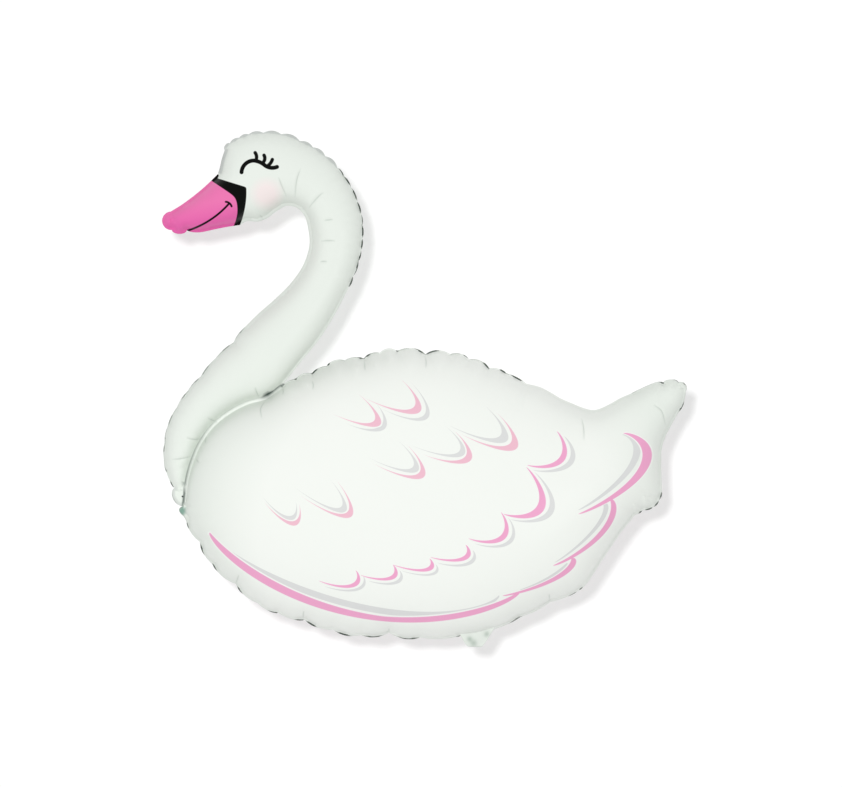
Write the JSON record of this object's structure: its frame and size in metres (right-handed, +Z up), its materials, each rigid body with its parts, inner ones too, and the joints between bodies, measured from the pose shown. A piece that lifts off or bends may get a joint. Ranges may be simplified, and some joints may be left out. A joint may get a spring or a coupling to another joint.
{
  "type": "swan foil balloon",
  "caption": "Inflated foil balloon in the outline of a swan with a curved neck, welded round its rim, with a filling tab on the belly; a party decoration lying on its back.",
  "frame": {"origin": "middle of the balloon's outline, on the surface that it lies on", "axes": "+X from the beak to the tail, +Y from the belly to the crown, +Z up, out of the printed front"},
  "size_m": [0.7602, 0.7476, 0.2584],
  "materials": {
    "printed_foil": "satin"
  },
  "bodies": {
    "root": {"foil_envelope": "printed_foil"}
  },
  "joints": []
}
